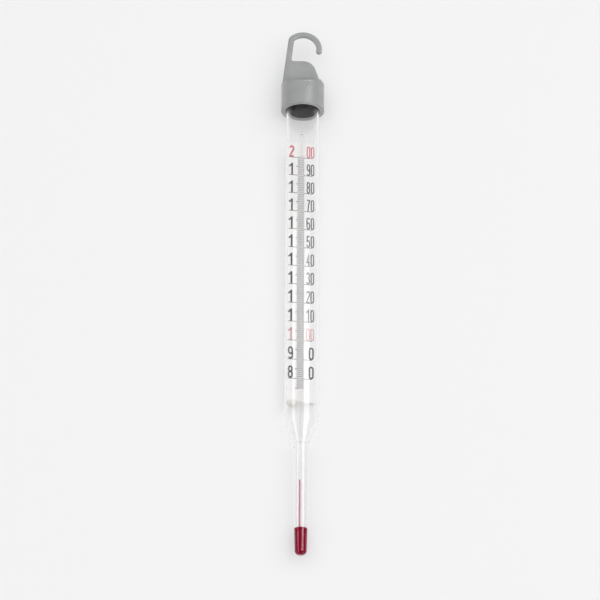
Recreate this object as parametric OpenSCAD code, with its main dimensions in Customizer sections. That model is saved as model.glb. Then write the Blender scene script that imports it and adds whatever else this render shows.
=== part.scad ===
// Hanging liquid-in-glass thermometer with an enclosed scale card and a moulded hook cap.
// Millimetres. The origin is the centre of the hook, +Z runs up the axis and the front looks along -Y.

/* [Hook] */
// Radius of the hook, to the middle of its bar
hook_r = 8.5; // [7.5:0.1:11]
// Width of the hook's arc, across its face
bar_w = 2.9; // [2.4:0.1:3]
// Width of the shaft that carries it
shaft_w = 3; // [2.9:0.1:3.6]
// Width across the rounded tip
tip_d = 3.1; // [3:0.1:4]
// Thickness of the hook and its web, front to back
bar_t = 2.4; // [2:0.1:3.4]
// Rounding of the edges of the hook and its web
bar_round = 0.8; // [0.3:0.1:0.95]
// How far the tip comes round below the hook centre, degrees
tip_angle = 8; // [0:1:20]
// Where the wide arc runs into the tighter bend, degrees round from the right
bend_at = 128; // [115:1:140]
// Radius of that bend, to the middle of the bar
bend_r = 2.5; // [2:0.1:4]
// Height of the hook centre above the collar
hook_rise = 18.25; // [16:0.25:25]

/* [Web] */
// Height of the flat web above the collar
web_rise = 11.15; // [8:0.05:13]
// Radius of the web's rounded right shoulder
web_r = 7; // [5:0.1:8]
// Distance of that shoulder's centre to the left of the axis
web_shift = 0.1; // [0:0.1:1]
// Lean of the web's right edge, degrees
web_lean = 19; // [10:1:25]
// Fillet in the crotch between the shaft and the web
crotch_r = 1.3; // [0.8:0.1:2.5]

/* [Collar] */
// Wall of the collar around the tube
collar_wall = 2.55; // [2:0.05:3.5]
// Height of the collar, from its top to its mouth
collar_h = 18.35; // [14:0.05:24]
// Depth from the top of the collar down to the end of the tube
cap_roof = 6.1; // [5.5:0.1:8]
// Height of the bevel round the top of the collar
bevel_h = 3; // [2:0.1:5]
// How far that bevel comes in
bevel_in = 2.25; // [1:0.05:3]
// Slope of the two flanks that lead up to the web, front and back, degrees
flank_slope = 29; // [26:0.5:34]
// Depth of their lower edges below the top of the collar
flank_drop = 5.3; // [4.8:0.1:5.6]
// Fillet between a flank and the web
flank_fillet = 3; // [2:0.1:3.5]
// Rounding of the collar's edges
collar_round = 0.5; // [0.2:0.1:0.9]
// Cement film between the collar and the tube
seat_gap = 0.05; // [0.02:0.01:0.1]
// Diameter of the round gate mark on the front of the collar
gate_d = 3.2; // [2:0.1:4]
// Depth of the gate mark
gate_depth = 0.35; // [0.25:0.05:0.6]
// Diameter of the broken-off nub in the gate mark
nub_d = 1; // [0.6:0.1:1.6]
// Height of that nub
nub_h = 0.2; // [0.1:0.05:0.2]
// Height of the gate mark's middle below the top of the collar
gate_drop = 7.8; // [7:0.1:10]
// Turn of the gate mark from the front towards the right, degrees
gate_turn = 11; // [0:1:40]

/* [Glass tube] */
// Outside diameter of the wide tube
tube_d = 17.2; // [14:0.1:21]
// Wall of the wide tube
tube_wall = 1; // [0.7:0.05:1.4]
// Length of the wide tube, from its top to the corner of the shoulder
tube_len = 180.8; // [150:0.2:230]
// Height of the tapering shoulder, corner to corner
shoulder_h = 11; // [8:0.5:16]
// Rounding of the shoulder's two bends
shoulder_round = 8; // [3:0.5:10]
// Straight neck below the shoulder, down to the weld
neck_h = 3; // [2:0.1:5]

/* [Stem and bulb] */
// Wall of the stem
stem_wall = 1.7; // [0.9:0.05:1.8]
// Length of the stem, from the weld at the neck to the weld at the bulb
stem_len = 37.9; // [25:0.1:50]
// Height over which the stem closes in on the bulb
stem_close = 2; // [1:0.1:4]
// Diameter of the bulb at its shoulder
bulb_d = 6.3; // [5:0.1:7]
// How much slimmer the bulb is at its tip
bulb_slim = 0.6; // [0.2:0.1:1]
// Length of the bulb
bulb_len = 13.9; // [11:0.1:20]
// Wall of the bulb
bulb_wall = 0.45; // [0.35:0.05:0.6]

/* [Capillary and spirit] */
// Outside diameter of the capillary
capillary_d = 2.8; // [2.2:0.1:3.4]
// Diameter of the capillary bore
bore_d = 0.5; // [0.45:0.05:0.9]
// Distance from the mouth of the collar down to the top of the capillary
capillary_drop = 11.65; // [5:0.05:15]
// How far the capillary stands to the left of the tube's axis
core_shift = 0.4; // [0:0.1:1]
// Room between the capillary and the bore of the stem
core_gap = 0.1; // [0.05:0.05:0.3]
// Diameter of the expansion chamber at the top of the bore
chamber_d = 1.2; // [1:0.1:1.8]
// Length of the expansion chamber
chamber_len = 4; // [3:0.5:10]
// Room between the spirit and the glass around it
spirit_gap = 0.05; // [0.02:0.01:0.08]
// Length of the spirit thread above the bulb, to the top of its meniscus
thread_len = 23.25; // [10:0.05:100]
// Length of the meniscus at its upper end
meniscus_len = 1.2; // [0.8:0.1:2]

/* [Scale card] */
// Thickness of the card
card_t = 0.4; // [0.2:0.05:0.8]
// Turn of the card about the tube's axis, degrees
card_turn = 11; // [0:1:20]
// Distance from the mouth of the collar down to the top of the card
card_drop = 17.25; // [12:0.05:25]
// Height of the foot of the card above the corner of the shoulder
card_foot = 10.8; // [6:0.1:16]
// Room between the card and the capillary in front of it
card_gap = 0.1; // [0.05:0.05:0.3]
// Room between the edges of the card and the tube
card_side_gap = 0.15; // [0.1:0.05:0.4]
// Rounding of the card's corners
card_round = 0.6; // [0.2:0.1:1.5]

/* [Cement] */
// Radius of the large dab of cement under the left of the card
dab_r = 3; // [2:0.1:3.5]
// Radius of the small dab under the right of the card
small_dab_r = 1.3; // [0.8:0.1:2]
// Room between the cement and the glass
cement_gap = 0.05; // [0.02:0.01:0.1]

/* [Hidden] */
$fn = 96;
eps = 0.01;
// Rounding of a fire-polished rim as a share of its wall, and of a closed end as a share of its radius
rim_share = 0.4;
end_share = 0.8;

cap_grey = "#9fa1a0";
clear_glass = [0.84, 0.91, 0.93, 0.4];
spirit_red = "#a3112f";
card_white = "#f3f2ef";
cement_ivory = "#d9d3c3";

// Radii, from the inside out
tube_r = tube_d / 2;
tube_ir = tube_r - tube_wall;
collar_bore = tube_r + seat_gap;
collar_r = collar_bore + collar_wall;
collar_top_r = collar_r - bevel_in;
capillary_r = capillary_d / 2;
bore_r = bore_d / 2;
stem_bore = capillary_r + core_shift + core_gap;
stem_r = stem_bore + stem_wall;
bulb_r = bulb_d / 2;
bulb_tip_r = bulb_r - bulb_slim / 2;
weld_r = max(bulb_r, stem_bore) + bulb_wall / 2;
spirit_r = bore_r - spirit_gap;

// Levels, from the top down
collar_top = -hook_rise;
collar_mouth = collar_top - collar_h;
tube_top = collar_top - cap_roof;
shoulder_top = tube_top - tube_len;
shoulder_foot = shoulder_top - shoulder_h;
neck_weld = shoulder_foot - neck_h;
bulb_weld = neck_weld - stem_len;
bulb_tip = bulb_weld - bulb_len;
reservoir_top = bulb_weld - bulb_wall;
capillary_top = collar_mouth - capillary_drop;
thread_top = reservoir_top + thread_len;
card_top = collar_mouth - card_drop;
card_bottom = shoulder_top + card_foot;

// Depth of the card's face behind the tube's axis, and the width that fits the tube there
card_depth = core_shift * sin(card_turn) + capillary_r + card_gap;
card_w = 2 * (sqrt(pow(tube_ir, 2) - pow(card_depth + card_t, 2)) - card_side_gap);

// The shaft runs from its foot on the collar to a tangent on the bend
bend_mid = (hook_r - bend_r) * [cos(bend_at), sin(bend_at)];
shaft_foot = [-collar_top_r, collar_top];
foot_to_bend = bend_mid - shaft_foot;
shaft_dir = atan2(foot_to_bend.y, foot_to_bend.x) + asin(bend_r / norm(foot_to_bend));
shaft_len = sqrt(pow(norm(foot_to_bend), 2) - pow(bend_r, 2));
shaft_sink = bevel_h;
arc_overlap = 2;
fillet_sink = 0.03;

function unit(v) = v / norm(v);
function point(c) = [c.x, c.y];
// Middle of the shaft at a level
function shaft_x(z) = shaft_foot.x + (z - shaft_foot.y) / tan(shaft_dir);
// Half the angle between the two edges that meet at c
function half_angle(p, c, q) = acos(unit(p - c) * unit(q - c)) / 2;
// Positive where an outline that runs anticlockwise turns left
function turn_of(p, c, q) = cross(c - p, q - c);

// Where the arc that rounds a corner meets the edge from c towards p
function tangent(p, c, q, r) = c + unit(p - c) * r / tan(half_angle(p, c, q));
// Corner i of an outline between its two neighbours
function neighbour(corners, i) = point(corners[(i + len(corners)) % len(corners)]);
// The corner itself, or the two ends of its arc where the outline turns right
function stand_in(p, c, q, r) =
    r > 0 && turn_of(p, c, q) < 0 ? [tangent(p, c, q, r), tangent(q, c, p, r)] : [c];

// What an arc takes off: the corner outside it on a left turn, the bulge inside it on a right turn.
// Each cut reaches past the outline, so that no sliver is left along an edge.
module corner_cut(p, c, q, r) {
    from = tangent(p, c, q, r);
    to = tangent(q, c, p, r);
    mid = c + unit(unit(p - c) + unit(q - c)) * r / sin(half_angle(p, c, q));
    if (turn_of(p, c, q) > 0)
        difference() {
            polygon([from, 2 * c - mid, to]);
            translate(mid)
                circle(r = r);
        }
    else
        intersection() {
            polygon([from, c, to, mid]);
            translate(mid)
                circle(r = r);
        }
}

// Outline from anticlockwise corners [x, y, rounding], with true arcs at the rounded ones
module outline(corners) {
    last = len(corners) - 1;
    difference() {
        polygon([
            for (i = [0:last])
                each stand_in(neighbour(corners, i - 1), neighbour(corners, i),
                              neighbour(corners, i + 1), corners[i].z)
        ]);
        for (i = [0:last])
            if (corners[i].z > 0)
                corner_cut(neighbour(corners, i - 1), neighbour(corners, i),
                           neighbour(corners, i + 1), corners[i].z);
    }
}

module revolve(corners) {
    rotate_extrude()
        outline(corners);
}

// Draws in the plane of the hook: x to the right, y up, thickness both ways from it
module in_face() {
    rotate([90, 0, 0])
        children();
}

// Section from the middle of a flat piece to its rounded edge
module edge_section(reach) {
    intersection() {
        union() {
            translate([0, -bar_t / 2])
                square([reach - bar_round, bar_t]);
            translate([0, bar_round - bar_t / 2])
                square([reach, bar_t - 2 * bar_round]);
            for (side = [-1, 1])
                translate([reach - bar_round, side * (bar_t / 2 - bar_round)])
                    circle(r = bar_round);
        }
        translate([0, -bar_t / 2])
            square([reach, bar_t]);
    }
}

module bar_section(w) {
    edge_section(w / 2);
    mirror([1, 0])
        edge_section(w / 2);
}

// Concave fillet of the plate: swept about mid from one angle to another, and buried to a depth of fill
module plate_fillet(mid, r, fill, from, to) {
    translate(mid)
        rotate([0, 0, from])
            rotate_extrude(angle = to - from)
                translate([r + fill, 0])
                    mirror([1, 0])
                        edge_section(fill);
}

module hook_bar() {
    // Wide arc, run on a little into the heavier bend
    rotate([0, 0, -tip_angle])
        rotate_extrude(angle = tip_angle + bend_at + arc_overlap)
            translate([hook_r, 0])
                bar_section(bar_w);
    translate(hook_r * [cos(tip_angle), -sin(tip_angle)])
        rotate_extrude()
            edge_section(tip_d / 2);
    // Bend and shaft, both drawn from the level where they meet
    translate(bend_mid)
        rotate([0, 0, shaft_dir + 90]) {
            mirror([0, 1, 0])
                rotate_extrude(angle = shaft_dir + 90 - bend_at)
                    translate([bend_r, 0])
                        bar_section(shaft_w);
            translate([bend_r, 0, 0])
                rotate([-90, 0, 0])
                    linear_extrude(shaft_len + shaft_sink)
                        bar_section(shaft_w);
        }
}

module web() {
    web_top = collar_top + web_rise;
    web_foot = collar_top - cap_roof / 3;
    web_mid = [-web_shift, web_top - web_r];
    left = shaft_x(web_top);
    edge_len = (web_mid.y + web_r * sin(web_lean) - web_foot) / cos(web_lean);
    // Rounded right shoulder and the leaning edge below it, both drawn from the level where they meet
    translate(web_mid)
        rotate([0, 0, web_lean]) {
            rotate_extrude(angle = 90 - web_lean + arc_overlap)
                edge_section(web_r - fillet_sink);
            rotate([90, 0, 0])
                linear_extrude(edge_len)
                    edge_section(web_r - fillet_sink);
        }
    // Level stretch from the shaft to that shoulder
    translate([left, web_mid.y, 0])
        rotate([90, 0, 90])
            linear_extrude(web_mid.x - left)
                edge_section(web_r);
    // Foot of the plate, along the leaning shaft and down into the roof of the collar
    translate([0, 0, -bar_t / 2])
        linear_extrude(bar_t)
            polygon([
                [shaft_x(web_foot), web_foot],
                [web_mid.x + web_r * 3 / 4, web_foot],
                [web_mid.x + web_r / 2, web_mid.y],
                [web_mid.x, web_mid.y + bar_round],
                [left + bar_round, web_mid.y + bar_round],
                [left + bar_round, web_top - bar_round - fillet_sink],
                [left, web_top - bar_round - fillet_sink]
            ]);
    // Crotch between the shaft and the level stretch
    crotch_y = web_top + crotch_r - fillet_sink;
    crotch_x = shaft_x(crotch_y) + (shaft_w / 2 + crotch_r - fillet_sink) / sin(shaft_dir);
    plate_fillet([crotch_x, crotch_y], crotch_r, shaft_w * 2 / 3, shaft_dir + 90, 270);
}

// What lies above the two flanks, front and back
module above_flanks() {
    for (turn = [0, 180])
        rotate([0, 0, turn])
            translate([0, -collar_r, collar_top - flank_drop])
                rotate([flank_slope, 0, 0])
                    translate([-2 * collar_r, -collar_r, 0])
                        cube([4 * collar_r, 3 * collar_r, 2 * collar_r]);
}

// Level of a flank at a distance in front of the plane of the hook
function flank_z(y) = collar_top - flank_drop + (collar_r - y) * tan(flank_slope);

// Concave fillets that lead the flanks up into the web
module flank_fillets() {
    face = bar_t / 2 - fillet_sink;
    root = flank_z(face) - fillet_sink;
    reach = flank_fillet * tan(45 - flank_slope / 2);
    toe = face + reach;
    left = shaft_foot.x + bar_round;
    right = web_r - web_shift - bar_round;
    side = [
        [-toe, flank_z(toe) - reach, 0],
        [face / 2, flank_z(toe) - reach, 0],
        [face / 2, root + reach + bar_round, 0],
        [-face, root + reach + bar_round, 0],
        [-face, root, flank_fillet],
        [-toe, flank_z(toe) - fillet_sink, 0]
    ];
    translate([left, 0, 0])
        rotate([90, 0, 90])
            linear_extrude(right - left) {
                outline(side);
                mirror([1, 0])
                    outline(side);
            }
}

module collar() {
    difference() {
        revolve([
            [0, collar_mouth, 0],
            [collar_r, collar_mouth, collar_round],
            [collar_r, collar_top - bevel_h, collar_round],
            [collar_top_r, collar_top, collar_round],
            [0, collar_top, 0]
        ]);
        above_flanks();
    }
}

// Shallow round gate mark with the broken-off nub in its middle
module gate_mark() {
    translate([0, 0, collar_top - gate_drop])
        rotate([0, 0, gate_turn])
            rotate([90, 0, 0])
                translate([0, 0, collar_r - gate_depth])
                    difference() {
                        cylinder(d = gate_d, h = 2 * gate_depth);
                        translate([0, 0, -eps])
                            cylinder(d = nub_d, h = nub_h + eps);
                    }
}

module hook_cap() {
    color(cap_grey)
        difference() {
            union() {
                collar();
                in_face()
                    hook_bar();
                in_face()
                    web();
                flank_fillets();
            }
            // Blind bore for the tube, opened a little at the mouth
            translate([0, 0, collar_mouth - eps])
                cylinder(r = collar_bore, h = tube_top - collar_mouth + eps);
            translate([0, 0, collar_mouth - eps])
                cylinder(r1 = collar_bore + collar_round, r2 = collar_bore, h = collar_round + eps);
            gate_mark();
        }
}

module sheath_tube() {
    rim = tube_wall * rim_share;
    color(clear_glass)
        revolve([
            [stem_bore, neck_weld, 0],
            [stem_r, neck_weld, 0],
            [stem_r, shoulder_foot, shoulder_round],
            [tube_r, shoulder_top, shoulder_round],
            [tube_r, tube_top, rim],
            [tube_ir, tube_top, rim],
            [tube_ir, shoulder_top + tube_wall, shoulder_round],
            [stem_bore, shoulder_foot + tube_wall, shoulder_round / 2]
        ]);
}

module stem_tube() {
    color(clear_glass)
        revolve([
            [stem_bore, bulb_weld, 0],
            [weld_r, bulb_weld, 0],
            [stem_r, bulb_weld + stem_close, stem_close / 2],
            [stem_r, neck_weld, 0],
            [stem_bore, neck_weld, 0]
        ]);
}

// Stands its children on the capillary's own axis
module on_core() {
    translate([-core_shift, 0, 0])
        children();
}

module capillary_tube() {
    chamber_top = capillary_top - capillary_r;
    chamber_r = chamber_d / 2;
    color(clear_glass)
        on_core()
            difference() {
                revolve([
                    [0, bulb_weld, 0],
                    [capillary_r, bulb_weld, 0],
                    [capillary_r, capillary_top, capillary_r * end_share],
                    [0, capillary_top, 0]
                ]);
                translate([0, 0, bulb_weld - eps])
                    cylinder(r = bore_r, h = chamber_top - bulb_weld - chamber_len / 2);
                // Pear-shaped expansion chamber
                revolve([
                    [0, chamber_top - chamber_len, 0],
                    [bore_r, chamber_top - chamber_len, 0],
                    [chamber_r, chamber_top - chamber_len / 2, chamber_r],
                    [chamber_r, chamber_top, chamber_r * end_share],
                    [0, chamber_top, 0]
                ]);
            }
}

// Inside of the bulb, with its walls drawn in by a gap
module reservoir(gap) {
    r = bulb_r - bulb_wall - gap;
    tip_r = bulb_tip_r - bulb_wall - gap;
    revolve([
        [0, bulb_tip + bulb_wall + gap, 0],
        [tip_r, bulb_tip + bulb_wall + gap, tip_r * end_share],
        [r, reservoir_top - gap, r / 2],
        [0, reservoir_top - gap, 0]
    ]);
}

module bulb() {
    color(clear_glass)
        difference() {
            revolve([
                [0, bulb_tip, 0],
                [bulb_tip_r, bulb_tip, bulb_tip_r * end_share],
                [bulb_r, bulb_weld - stem_close, stem_close / 2],
                [weld_r, bulb_weld, 0],
                [0, bulb_weld, 0]
            ]);
            reservoir(0);
            on_core()
                translate([0, 0, reservoir_top - bulb_wall])
                    cylinder(r = bore_r, h = 3 * bulb_wall);
        }
}

module reservoir_spirit() {
    color(spirit_red)
        reservoir(spirit_gap);
}

module spirit_thread() {
    foot = reservoir_top - spirit_gap;
    color(spirit_red)
        on_core()
            translate([0, 0, foot])
                cylinder(r = spirit_r, h = thread_top - meniscus_len - foot);
}

// Top of the thread, hollowed where the spirit climbs the glass
module spirit_meniscus() {
    color(spirit_red)
        on_core()
            difference() {
                translate([0, 0, thread_top - meniscus_len])
                    cylinder(r = spirit_r, h = meniscus_len);
                translate([0, 0, thread_top + spirit_r / 2])
                    sphere(r = spirit_r);
            }
}

module scale_card() {
    color(card_white)
        rotate([0, 0, card_turn])
            translate([0, card_depth + card_t, 0])
                in_face()
                    linear_extrude(card_t)
                        outline([
                            [-card_w / 2, card_bottom, card_round],
                            [card_w / 2, card_bottom, card_round],
                            [card_w / 2, card_top, card_round],
                            [-card_w / 2, card_top, card_round]
                        ]);
}

// One dab under the card, its middle some way along the card from the tube's axis
module dab(along, r) {
    rotate([0, 0, card_turn])
        translate([along, card_depth + card_t / 2, card_bottom])
            sphere(r = r);
}

module card_cement() {
    color(cement_ivory)
        difference() {
            intersection() {
                union() {
                    dab(-card_w / 2 + dab_r, dab_r);
                    dab(card_w / 2 - small_dab_r, small_dab_r);
                }
                translate([0, 0, card_bottom - 2 * dab_r])
                    cylinder(r = tube_ir - cement_gap, h = 2 * dab_r);
            }
            on_core()
                translate([0, 0, card_bottom - 3 * dab_r])
                    cylinder(r = capillary_r + cement_gap, h = 4 * dab_r);
        }
}

hook_cap();
sheath_tube();
stem_tube();
capillary_tube();
bulb();
reservoir_spirit();
spirit_thread();
spirit_meniscus();
scale_card();
card_cement();
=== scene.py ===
# %% [markdown]
# # A hanging thermometer with an enclosed scale
# This lesson dresses a thermometer whose solids are already fixed: a grey moulded hook cap, a drawn
# glass envelope with a slim stem and a red bulb, a capillary, and a printed card inside the glass.
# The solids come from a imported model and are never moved. Each step below gives one piece its finish,
# or swaps its solid for a finer mesh in the same place. All lengths are metres, +Z runs up the
# thermometer, and the scale faces -Y.

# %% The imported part
import math

import bpy
from mathutils import Matrix, Vector


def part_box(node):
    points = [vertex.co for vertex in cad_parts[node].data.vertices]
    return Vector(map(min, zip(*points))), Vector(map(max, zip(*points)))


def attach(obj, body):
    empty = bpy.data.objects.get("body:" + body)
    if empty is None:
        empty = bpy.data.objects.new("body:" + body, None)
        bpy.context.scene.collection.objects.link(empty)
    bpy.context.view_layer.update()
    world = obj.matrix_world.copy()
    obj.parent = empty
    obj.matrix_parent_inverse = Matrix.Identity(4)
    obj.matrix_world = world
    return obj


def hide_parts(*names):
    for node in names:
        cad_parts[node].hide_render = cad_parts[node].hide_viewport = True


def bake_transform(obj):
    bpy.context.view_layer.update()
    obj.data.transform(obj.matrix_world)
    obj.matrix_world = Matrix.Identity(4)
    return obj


MM = 0.001
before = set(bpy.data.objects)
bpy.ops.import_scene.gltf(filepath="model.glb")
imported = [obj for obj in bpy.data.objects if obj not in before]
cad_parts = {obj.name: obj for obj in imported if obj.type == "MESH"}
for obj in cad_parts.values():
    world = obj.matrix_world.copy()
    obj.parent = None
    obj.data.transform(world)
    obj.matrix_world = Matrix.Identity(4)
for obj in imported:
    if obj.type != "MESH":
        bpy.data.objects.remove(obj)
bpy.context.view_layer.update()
scene = bpy.context.scene
scene.view_settings.view_transform = "Standard"

# %% [markdown]
# ## Camera
# The picture was taken from below the middle of the thermometer, looking up at it by about twenty
# degrees, so that we look into the mouth of the cap. A long lens from nearly a metre away keeps the
# perspective gentle. Working in an aim point, a distance and an angle is easier to correct than
# typing a location, so the location is worked out from those three.

# %% Camera
AIM = Vector((-0.9, 0.0, -141.15)) * MM
DISTANCE = 948.4 * MM
LOOK_UP = math.radians(21.1)
ROLL = math.radians(0.28)
LENS_MM = 114.0

camera_data = bpy.data.cameras.new("camera")
camera_data.lens = LENS_MM
camera = bpy.data.objects.new("camera", camera_data)
look = Vector((0.0, math.cos(LOOK_UP), math.sin(LOOK_UP)))
camera.location = AIM - look * DISTANCE
camera.rotation_mode = "QUATERNION"
upright = look.to_track_quat("-Z", "Y").to_matrix()
camera.rotation_quaternion = (upright @ Matrix.Rotation(ROLL, 3, "Z")).to_quaternion()
scene.collection.objects.link(camera)
scene.camera = camera
print("camera at", [round(x / MM, 1) for x in camera.location], "mm")

# %% [markdown]
# ## Materials: the helpers
# A node material is a small graph, and most of its code is bookkeeping: add a node, set its inputs, join
# two sockets. A few helpers take that over, so that each finish below reads like a recipe. An input takes
# either a plain number or the output of another node, and feed() tells the two apart.

# %% Helpers for nodes
def start_material(name):
    """A new node material, with its tree and its Principled shader."""
    material = bpy.data.materials.new(name)
    material.use_nodes = True
    tree = material.node_tree
    return material, tree, tree.nodes["Principled BSDF"]


def add(tree, kind, **settings):
    node = tree.nodes.new(kind)
    for key, value in settings.items():
        setattr(node, key, value)
    return node


def join(tree, source, target):
    tree.links.new(source, target)


def feed(tree, value, target):
    """Give an input a plain number, or the output of another node."""
    if isinstance(value, (int, float)):
        target.default_value = value
    else:
        join(tree, value, target)


def set_inputs(node, **values):
    """Set inputs by name, with underscores for the blanks."""
    for key, value in values.items():
        node.inputs[key.replace("_", " ")].default_value = value


print("helpers that add, set and join nodes")


# %% Helpers for sums and vectors
def calc(tree, operation, *values):
    """The result of a Math node."""
    node = add(tree, "ShaderNodeMath", operation=operation)
    for value, target in zip(values, node.inputs):
        feed(tree, value, target)
    return node.outputs["Value"]


def remap(tree, value, from_range, to_range, smooth=False):
    """A value that runs over one range, carried over to another."""
    node = add(tree, "ShaderNodeMapRange", interpolation_type="SMOOTHSTEP" if smooth else "LINEAR")
    set_inputs(node, From_Min=from_range[0], From_Max=from_range[1], To_Min=to_range[0], To_Max=to_range[1])
    join(tree, value, node.inputs["Value"])
    return node.outputs["Result"]


def split(tree, place):
    """The X, Y and Z of a vector."""
    node = add(tree, "ShaderNodeSeparateXYZ")
    join(tree, place, node.inputs["Vector"])
    return node.outputs["X"], node.outputs["Y"], node.outputs["Z"]


def vector(tree, **parts):
    """A vector from its X, Y and Z. Those left out are nought."""
    node = add(tree, "ShaderNodeCombineXYZ")
    for name, value in parts.items():
        feed(tree, value, node.inputs[name])
    return node.outputs["Vector"]


print("helpers for sums and vectors")

# %% [markdown]
# ## Grain and mottle
# Grain and slow mottling are wanted on the plastic, the card, the ink, the spirit and the cement alike, so
# they live in one node group, which each material places with its own sizes. Noise keeps near one half,
# so its middle part is stretched to the range that is wanted.

# %% The grain group
NOISE_ROUGHNESS = 0.55
NOISE_MIDDLE = (0.3, 0.7)


def make_grain_group():
    """Object coordinates in, a fine grain and a slow mottle out, both around one half."""
    group = bpy.data.node_groups.new("grain_and_mottle", "ShaderNodeTree")
    sockets = group.interface
    sockets.new_socket("Vector", in_out="INPUT", socket_type="NodeSocketVector")
    for name, start in (("Grain Scale", 2500.0), ("Mottle Scale", 150.0)):
        sockets.new_socket(name, in_out="INPUT", socket_type="NodeSocketFloat").default_value = start
    for name in ("Grain", "Mottle"):
        sockets.new_socket(name, in_out="OUTPUT", socket_type="NodeSocketFloat")
    given = add(group, "NodeGroupInput")
    result = add(group, "NodeGroupOutput")
    for scale, output, detail in (("Grain Scale", "Grain", 2.0), ("Mottle Scale", "Mottle", 4.0)):
        noise = add(group, "ShaderNodeTexNoise")
        set_inputs(noise, Detail=detail, Roughness=NOISE_ROUGHNESS)
        join(group, given.outputs["Vector"], noise.inputs["Vector"])
        join(group, given.outputs[scale], noise.inputs["Scale"])
        join(group, noise.outputs["Fac"], result.inputs[output])
    return group


GRAIN = make_grain_group()
print("node group", GRAIN.name, "with", len(GRAIN.nodes), "nodes")


# %% Using the grain
def place_grain(tree, grain_scale, mottle_scale):
    """The grain and the mottle on Object coordinates, and the coordinates themselves."""
    place = add(tree, "ShaderNodeTexCoord").outputs["Object"]
    grain = add(tree, "ShaderNodeGroup", node_tree=GRAIN)
    set_inputs(grain, Grain_Scale=grain_scale, Mottle_Scale=mottle_scale)
    join(tree, place, grain.inputs["Vector"])
    return grain.outputs["Grain"], grain.outputs["Mottle"], place


def spread(tree, noise, low, high):
    """Stretch a noise over the range from low to high."""
    return remap(tree, noise, NOISE_MIDDLE, (low, high))


def two_tone(tree, factor, first, second):
    """A colour between two, each of them a fixed tone or the output of another node."""
    mix = add(tree, "ShaderNodeMix", data_type="RGBA")
    join(tree, factor, mix.inputs["Factor"])
    for name, tone in (("A", first), ("B", second)):
        if isinstance(tone, tuple):
            mix.inputs[name].default_value = (*tone, 1.0)
        else:
            join(tree, tone, mix.inputs[name])
    return mix.outputs["Result"]


def mottled(tree, mottle, tones):
    """A colour that wanders between two tones."""
    return two_tone(tree, spread(tree, mottle, 0.0, 1.0), *tones)


def bump(tree, height, shader, depth, strength=1.0):
    """Bend a shader's normal by a height field that is depth metres deep, and hand back the node."""
    node = add(tree, "ShaderNodeBump")
    set_inputs(node, Strength=strength, Distance=depth)
    join(tree, height, node.inputs["Height"])
    join(tree, node.outputs["Normal"], shader.inputs["Normal"])
    return node


def finish_solid(name, material):
    """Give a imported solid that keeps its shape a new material."""
    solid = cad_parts[name]
    solid.data.materials.clear()
    solid.data.materials.append(material)
    print(name, "keeps its solid,", len(solid.data.polygons), "faces")


print("helpers that place the grain")

# %% [markdown]
# ## Grey moulded plastic
# The cap is a cheap injection moulding in mid grey. The mould was lightly eroded, so the skin has a
# fine grain and only a soft sheen, and the two mould halves meet on the plane of the hook, where they
# leave a hair line. The line is a bump that depends on the distance from that plane, so it needs no
# extra edges in the mesh and runs over the hook and down both sides of the collar. No moulded edge is
# sharp, so a Bevel node turns the normals close to each edge, which costs no faces either. Little light
# gets into the bore of the collar, so a painted shade darkens it: what is close enough to the axis and
# below the bore's roof gets a dark tone.

# %% Cap plastic
CAP_TONES = ((0.345, 0.351, 0.349), (0.392, 0.399, 0.395))
CAP_ROUGHNESS = (0.27, 0.20)
SKIN_DEPTH = 0.03 * MM
SEAM_HALF_WIDTH = 0.07 * MM
SEAM_RISE = 1.2
EDGE_ROUND = 0.35 * MM
# painted shade: the dark tone given to the inside of the collar's bore
BORE_PAINTED_SHADE = (0.082, 0.082, 0.081)
BORE_EDGE = 8.7 * MM
BORE_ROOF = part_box("sheath_tube")[1].z + 0.2 * MM


def bore_mask(tree, x, y, z):
    """One in the bore of the collar, and nought elsewhere."""
    off_axis = add(tree, "ShaderNodeVectorMath", operation="LENGTH")
    join(tree, vector(tree, X=x, Y=y), off_axis.inputs[0])
    inside = calc(tree, "LESS_THAN", off_axis.outputs["Value"], BORE_EDGE)
    return calc(tree, "MULTIPLY", inside, calc(tree, "LESS_THAN", z, BORE_ROOF))


def make_cap_plastic():
    material, tree, shader = start_material("cap_plastic")
    grain, mottle, place = place_grain(tree, grain_scale=2600.0, mottle_scale=130.0)
    x, y, z = split(tree, place)
    # painted shade: the bore of the collar is darkened, the rest keeps the mottled grey
    shaded_in_bore = two_tone(tree, bore_mask(tree, x, y, z), mottled(tree, mottle, CAP_TONES), BORE_PAINTED_SHADE)
    join(tree, shaded_in_bore, shader.inputs["Base Color"])
    join(tree, spread(tree, mottle, *CAP_ROUGHNESS), shader.inputs["Roughness"])
    off_seam = calc(tree, "ABSOLUTE", y)
    seam = remap(tree, off_seam, (0.0, SEAM_HALF_WIDTH), (SEAM_RISE, 0.0), smooth=True)
    skin = bump(tree, calc(tree, "ADD", grain, seam), shader, depth=SKIN_DEPTH)
    soft_edges = add(tree, "ShaderNodeBevel", samples=8)
    set_inputs(soft_edges, Radius=EDGE_ROUND)
    join(tree, soft_edges.outputs["Normal"], skin.inputs["Normal"])
    return material


finish_solid("hook_cap", make_cap_plastic())

# %% [markdown]
# ## Clear glass
# Glass is all refraction, so its Principled shader has full transmission and no roughness. Two things
# make it look drawn and not cast: a trace of colour, and faint streaks along the tube, which a noise
# stretched along Z gives. The capillary's glass gets a darker, slightly warm tint, which dims the rod.
# Lamps can't shine through refracting glass by themselves, so for shadow rays the material turns into a
# plain see-through one. Light that the card or the table scatters passes the same way, or the bright
# ground would be counted twice. The solid stem bends light aside, so less gets through it than through a
# thin wall. A ray that was mirrored a few times inside the glass is let out too, because the renderer
# would give it up and leave a black speck.

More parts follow.
